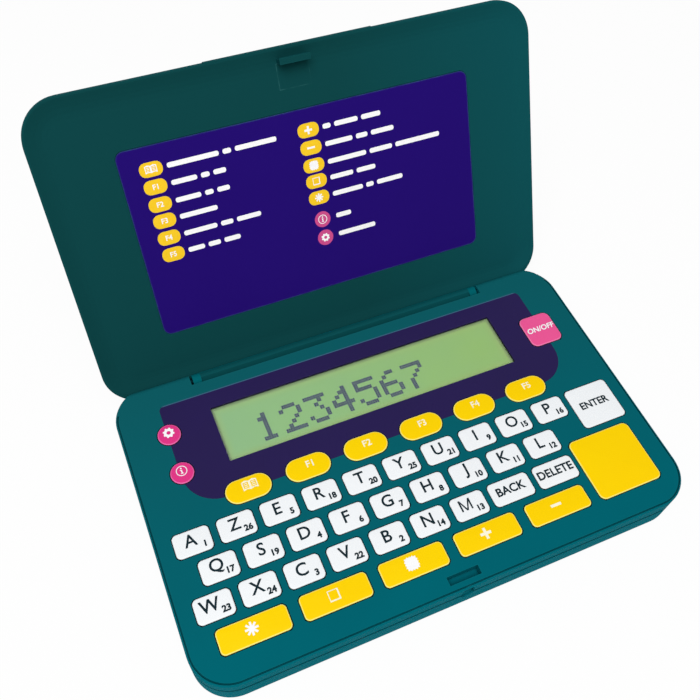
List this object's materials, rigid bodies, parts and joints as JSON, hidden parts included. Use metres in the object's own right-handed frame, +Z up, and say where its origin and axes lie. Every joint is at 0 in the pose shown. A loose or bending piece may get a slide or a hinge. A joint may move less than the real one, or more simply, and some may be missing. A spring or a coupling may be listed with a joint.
{
  "type": "electronic dictionary",
  "caption": "Pocket electronic dictionary: flat case with a letter keyboard and a strip display, and a rear-hinged lid with a printed label, shown open.",
  "frame": {"origin": "centre of the flat underside of the case", "axes": "+X towards the user's right along the hinge, +Y from the front edge to the hinge at the rear, +Z up out of the keys"},
  "size_m": [0.1314, 0.1192, 0.0792],
  "materials": {
    "case_plastic": "satin moulded",
    "bezel_plastic": "smooth",
    "clear_sheet": "clear polished",
    "lcd_glass": "smooth reflective display",
    "connector_rubber": "soft",
    "mat_rubber": "soft",
    "board_laminate": "lacquered",
    "cell_steel": "bright",
    "spring_steel": "plated",
    "screw_steel": "zinc plated",
    "pin_steel": "ground",
    "label_print": "printed film",
    "key_white": "smooth moulded",
    "key_yellow": "smooth moulded",
    "key_pink": "smooth moulded"
  },
  "bodies": {
    "base": {"bottom_case": "case_plastic", "top_case": "case_plastic", "battery_door": "case_plastic", "display_bezel": "bezel_plastic", "display_window": "clear_sheet", "lcd_panel": "lcd_glass", "lcd_connector": "connector_rubber", "key_mat": "mat_rubber", "main_board": "board_laminate", "coin_cells": "cell_steel", "battery_contacts": "spring_steel", "battery_door_screw": "screw_steel", "case_screws": "screw_steel", "hinge_pins": "pin_steel"},
    "lid": {"lid_shell": "case_plastic", "lid_label": "label_print"},
    "key_q": {"key_q": "key_white"},
    "key_w": {"key_w": "key_white"},
    "key_e": {"key_e": "key_white"},
    "key_r": {"key_r": "key_white"},
    "key_t": {"key_t": "key_white"},
    "key_y": {"key_y": "key_white"},
    "key_u": {"key_u": "key_white"},
    "key_i": {"key_i": "key_white"},
    "key_o": {"key_o": "key_white"},
    "key_p": {"key_p": "key_white"},
    "key_a": {"key_a": "key_white"},
    "key_s": {"key_s": "key_white"},
    "key_d": {"key_d": "key_white"},
    "key_f": {"key_f": "key_white"},
    "key_g": {"key_g": "key_white"},
    "key_h": {"key_h": "key_white"},
    "key_j": {"key_j": "key_white"},
    "key_k": {"key_k": "key_white"},
    "key_l": {"key_l": "key_white"},
    "key_z": {"key_z": "key_white"},
    "key_x": {"key_x": "key_white"},
    "key_c": {"key_c": "key_white"},
    "key_v": {"key_v": "key_white"},
    "key_b": {"key_b": "key_white"},
    "key_n": {"key_n": "key_white"},
    "key_m": {"key_m": "key_white"},
    "key_back": {"key_back": "key_white"},
    "key_delete": {"key_delete": "key_white"},
    "key_enter": {"key_enter": "key_white"},
    "key_star": {"key_star": "key_yellow"},
    "key_square": {"key_square": "key_yellow"},
    "key_tile": {"key_tile": "key_yellow"},
    "key_plus": {"key_plus": "key_yellow"},
    "key_minus": {"key_minus": "key_yellow"},
    "key_cursor_pad": {"key_cursor_pad": "key_yellow"},
    "key_look_up": {"key_look_up": "key_yellow"},
    "key_build": {"key_build": "key_yellow"},
    "key_place": {"key_place": "key_yellow"},
    "key_list": {"key_list": "key_yellow"},
    "key_score": {"key_score": "key_yellow"},
    "key_games": {"key_games": "key_yellow"},
    "key_power": {"key_power": "key_pink"},
    "key_settings": {"key_settings": "key_pink"},
    "key_info": {"key_info": "key_pink"}
  },
  "joints": [
    {"name": "lid_hinge", "type": "hinge", "parent": "base", "child": "lid", "pos_m": [0, 0.0385, 0.00973], "axis": [1, 0, 0], "range_deg": [0, 117.27]},
    {"name": "press_q", "type": "slide", "parent": "base", "child": "key_q", "axis": [0, 0, -1], "range_m": [0, 0.0005], "stiffness_N_per_m": 600},
    {"name": "press_w", "type": "slide", "parent": "base", "child": "key_w", "axis": [0, 0, -1], "range_m": [0, 0.0005], "stiffness_N_per_m": 600},
    {"name": "press_e", "type": "slide", "parent": "base", "child": "key_e", "axis": [0, 0, -1], "range_m": [0, 0.0005], "stiffness_N_per_m": 600},
    {"name": "press_r", "type": "slide", "parent": "base", "child": "key_r", "axis": [0, 0, -1], "range_m": [0, 0.0005], "stiffness_N_per_m": 600},
    {"name": "press_t", "type": "slide", "parent": "base", "child": "key_t", "axis": [0, 0, -1], "range_m": [0, 0.0005], "stiffness_N_per_m": 600},
    {"name": "press_y", "type": "slide", "parent": "base", "child": "key_y", "axis": [0, 0, -1], "range_m": [0, 0.0005], "stiffness_N_per_m": 600},
    {"name": "press_u", "type": "slide", "parent": "base", "child": "key_u", "axis": [0, 0, -1], "range_m": [0, 0.0005], "stiffness_N_per_m": 600},
    {"name": "press_i", "type": "slide", "parent": "base", "child": "key_i", "axis": [0, 0, -1], "range_m": [0, 0.0005], "stiffness_N_per_m": 600},
    {"name": "press_o", "type": "slide", "parent": "base", "child": "key_o", "axis": [0, 0, -1], "range_m": [0, 0.0005], "stiffness_N_per_m": 600},
    {"name": "press_p", "type": "slide", "parent": "base", "child": "key_p", "axis": [0, 0, -1], "range_m": [0, 0.0005], "stiffness_N_per_m": 600},
    {"name": "press_a", "type": "slide", "parent": "base", "child": "key_a", "axis": [0, 0, -1], "range_m": [0, 0.0005], "stiffness_N_per_m": 600},
    {"name": "press_s", "type": "slide", "parent": "base", "child": "key_s", "axis": [0, 0, -1], "range_m": [0, 0.0005], "stiffness_N_per_m": 600},
    {"name": "press_d", "type": "slide", "parent": "base", "child": "key_d", "axis": [0, 0, -1], "range_m": [0, 0.0005], "stiffness_N_per_m": 600},
    {"name": "press_f", "type": "slide", "parent": "base", "child": "key_f", "axis": [0, 0, -1], "range_m": [0, 0.0005], "stiffness_N_per_m": 600},
    {"name": "press_g", "type": "slide", "parent": "base", "child": "key_g", "axis": [0, 0, -1], "range_m": [0, 0.0005], "stiffness_N_per_m": 600},
    {"name": "press_h", "type": "slide", "parent": "base", "child": "key_h", "axis": [0, 0, -1], "range_m": [0, 0.0005], "stiffness_N_per_m": 600},
    {"name": "press_j", "type": "slide", "parent": "base", "child": "key_j", "axis": [0, 0, -1], "range_m": [0, 0.0005], "stiffness_N_per_m": 600},
    {"name": "press_k", "type": "slide", "parent": "base", "child": "key_k", "axis": [0, 0, -1], "range_m": [0, 0.0005], "stiffness_N_per_m": 600},
    {"name": "press_l", "type": "slide", "parent": "base", "child": "key_l", "axis": [0, 0, -1], "range_m": [0, 0.0005], "stiffness_N_per_m": 600},
    {"name": "press_z", "type": "slide", "parent": "base", "child": "key_z", "axis": [0, 0, -1], "range_m": [0, 0.0005], "stiffness_N_per_m": 600},
    {"name": "press_x", "type": "slide", "parent": "base", "child": "key_x", "axis": [0, 0, -1], "range_m": [0, 0.0005], "stiffness_N_per_m": 600},
    {"name": "press_c", "type": "slide", "parent": "base", "child": "key_c", "axis": [0, 0, -1], "range_m": [0, 0.0005], "stiffness_N_per_m": 600},
    {"name": "press_v", "type": "slide", "parent": "base", "child": "key_v", "axis": [0, 0, -1], "range_m": [0, 0.0005], "stiffness_N_per_m": 600},
    {"name": "press_b", "type": "slide", "parent": "base", "child": "key_b", "axis": [0, 0, -1], "range_m": [0, 0.0005], "stiffness_N_per_m": 600},
    {"name": "press_n", "type": "slide", "parent": "base", "child": "key_n", "axis": [0, 0, -1], "range_m": [0, 0.0005], "stiffness_N_per_m": 600},
    {"name": "press_m", "type": "slide", "parent": "base", "child": "key_m", "axis": [0, 0, -1], "range_m": [0, 0.0005], "stiffness_N_per_m": 600},
    {"name": "press_back", "type": "slide", "parent": "base", "child": "key_back", "axis": [0, 0, -1], "range_m": [0, 0.0005], "stiffness_N_per_m": 600},
    {"name": "press_delete", "type": "slide", "parent": "base", "child": "key_delete", "axis": [0, 0, -1], "range_m": [0, 0.0005], "stiffness_N_per_m": 600},
    {"name": "press_enter", "type": "slide", "parent": "base", "child": "key_enter", "axis": [0, 0, -1], "range_m": [0, 0.0005], "stiffness_N_per_m": 600},
    {"name": "press_star", "type": "slide", "parent": "base", "child": "key_star", "axis": [0, 0, -1], "range_m": [0, 0.0005], "stiffness_N_per_m": 600},
    {"name": "press_square", "type": "slide", "parent": "base", "child": "key_square", "axis": [0, 0, -1], "range_m": [0, 0.0005], "stiffness_N_per_m": 600},
    {"name": "press_tile", "type": "slide", "parent": "base", "child": "key_tile", "axis": [0, 0, -1], "range_m": [0, 0.0005], "stiffness_N_per_m": 600},
    {"name": "press_plus", "type": "slide", "parent": "base", "child": "key_plus", "axis": [0, 0, -1], "range_m": [0, 0.0005], "stiffness_N_per_m": 600},
    {"name": "press_minus", "type": "slide", "parent": "base", "child": "key_minus", "axis": [0, 0, -1], "range_m": [0, 0.0005], "stiffness_N_per_m": 600},
    {"name": "press_cursor_pad", "type": "slide", "parent": "base", "child": "key_cursor_pad", "axis": [0, 0, -1], "range_m": [0, 0.0005], "stiffness_N_per_m": 600},
    {"name": "press_look_up", "type": "slide", "parent": "base", "child": "key_look_up", "axis": [0, 0, -1], "range_m": [0, 0.0005], "stiffness_N_per_m": 600},
    {"name": "press_build", "type": "slide", "parent": "base", "child": "key_build", "axis": [0, 0, -1], "range_m": [0, 0.0005], "stiffness_N_per_m": 600},
    {"name": "press_place", "type": "slide", "parent": "base", "child": "key_place", "axis": [0, 0, -1], "range_m": [0, 0.0005], "stiffness_N_per_m": 600},
    {"name": "press_list", "type": "slide", "parent": "base", "child": "key_list", "axis": [0, 0, -1], "range_m": [0, 0.0005], "stiffness_N_per_m": 600},
    {"name": "press_score", "type": "slide", "parent": "base", "child": "key_score", "axis": [0, 0, -1], "range_m": [0, 0.0005], "stiffness_N_per_m": 600},
    {"name": "press_games", "type": "slide", "parent": "base", "child": "key_games", "axis": [0, 0, -1], "range_m": [0, 0.0005], "stiffness_N_per_m": 600},
    {"name": "press_power", "type": "slide", "parent": "base", "child": "key_power", "axis": [0, 0, -1], "range_m": [0, 0.0005], "stiffness_N_per_m": 600},
    {"name": "press_settings", "type": "slide", "parent": "base", "child": "key_settings", "axis": [0, 0, -1], "range_m": [0, 0.0005], "stiffness_N_per_m": 600},
    {"name": "press_info", "type": "slide", "parent": "base", "child": "key_info", "axis": [0, 0, -1], "range_m": [0, 0.0005], "stiffness_N_per_m": 600}
  ]
}
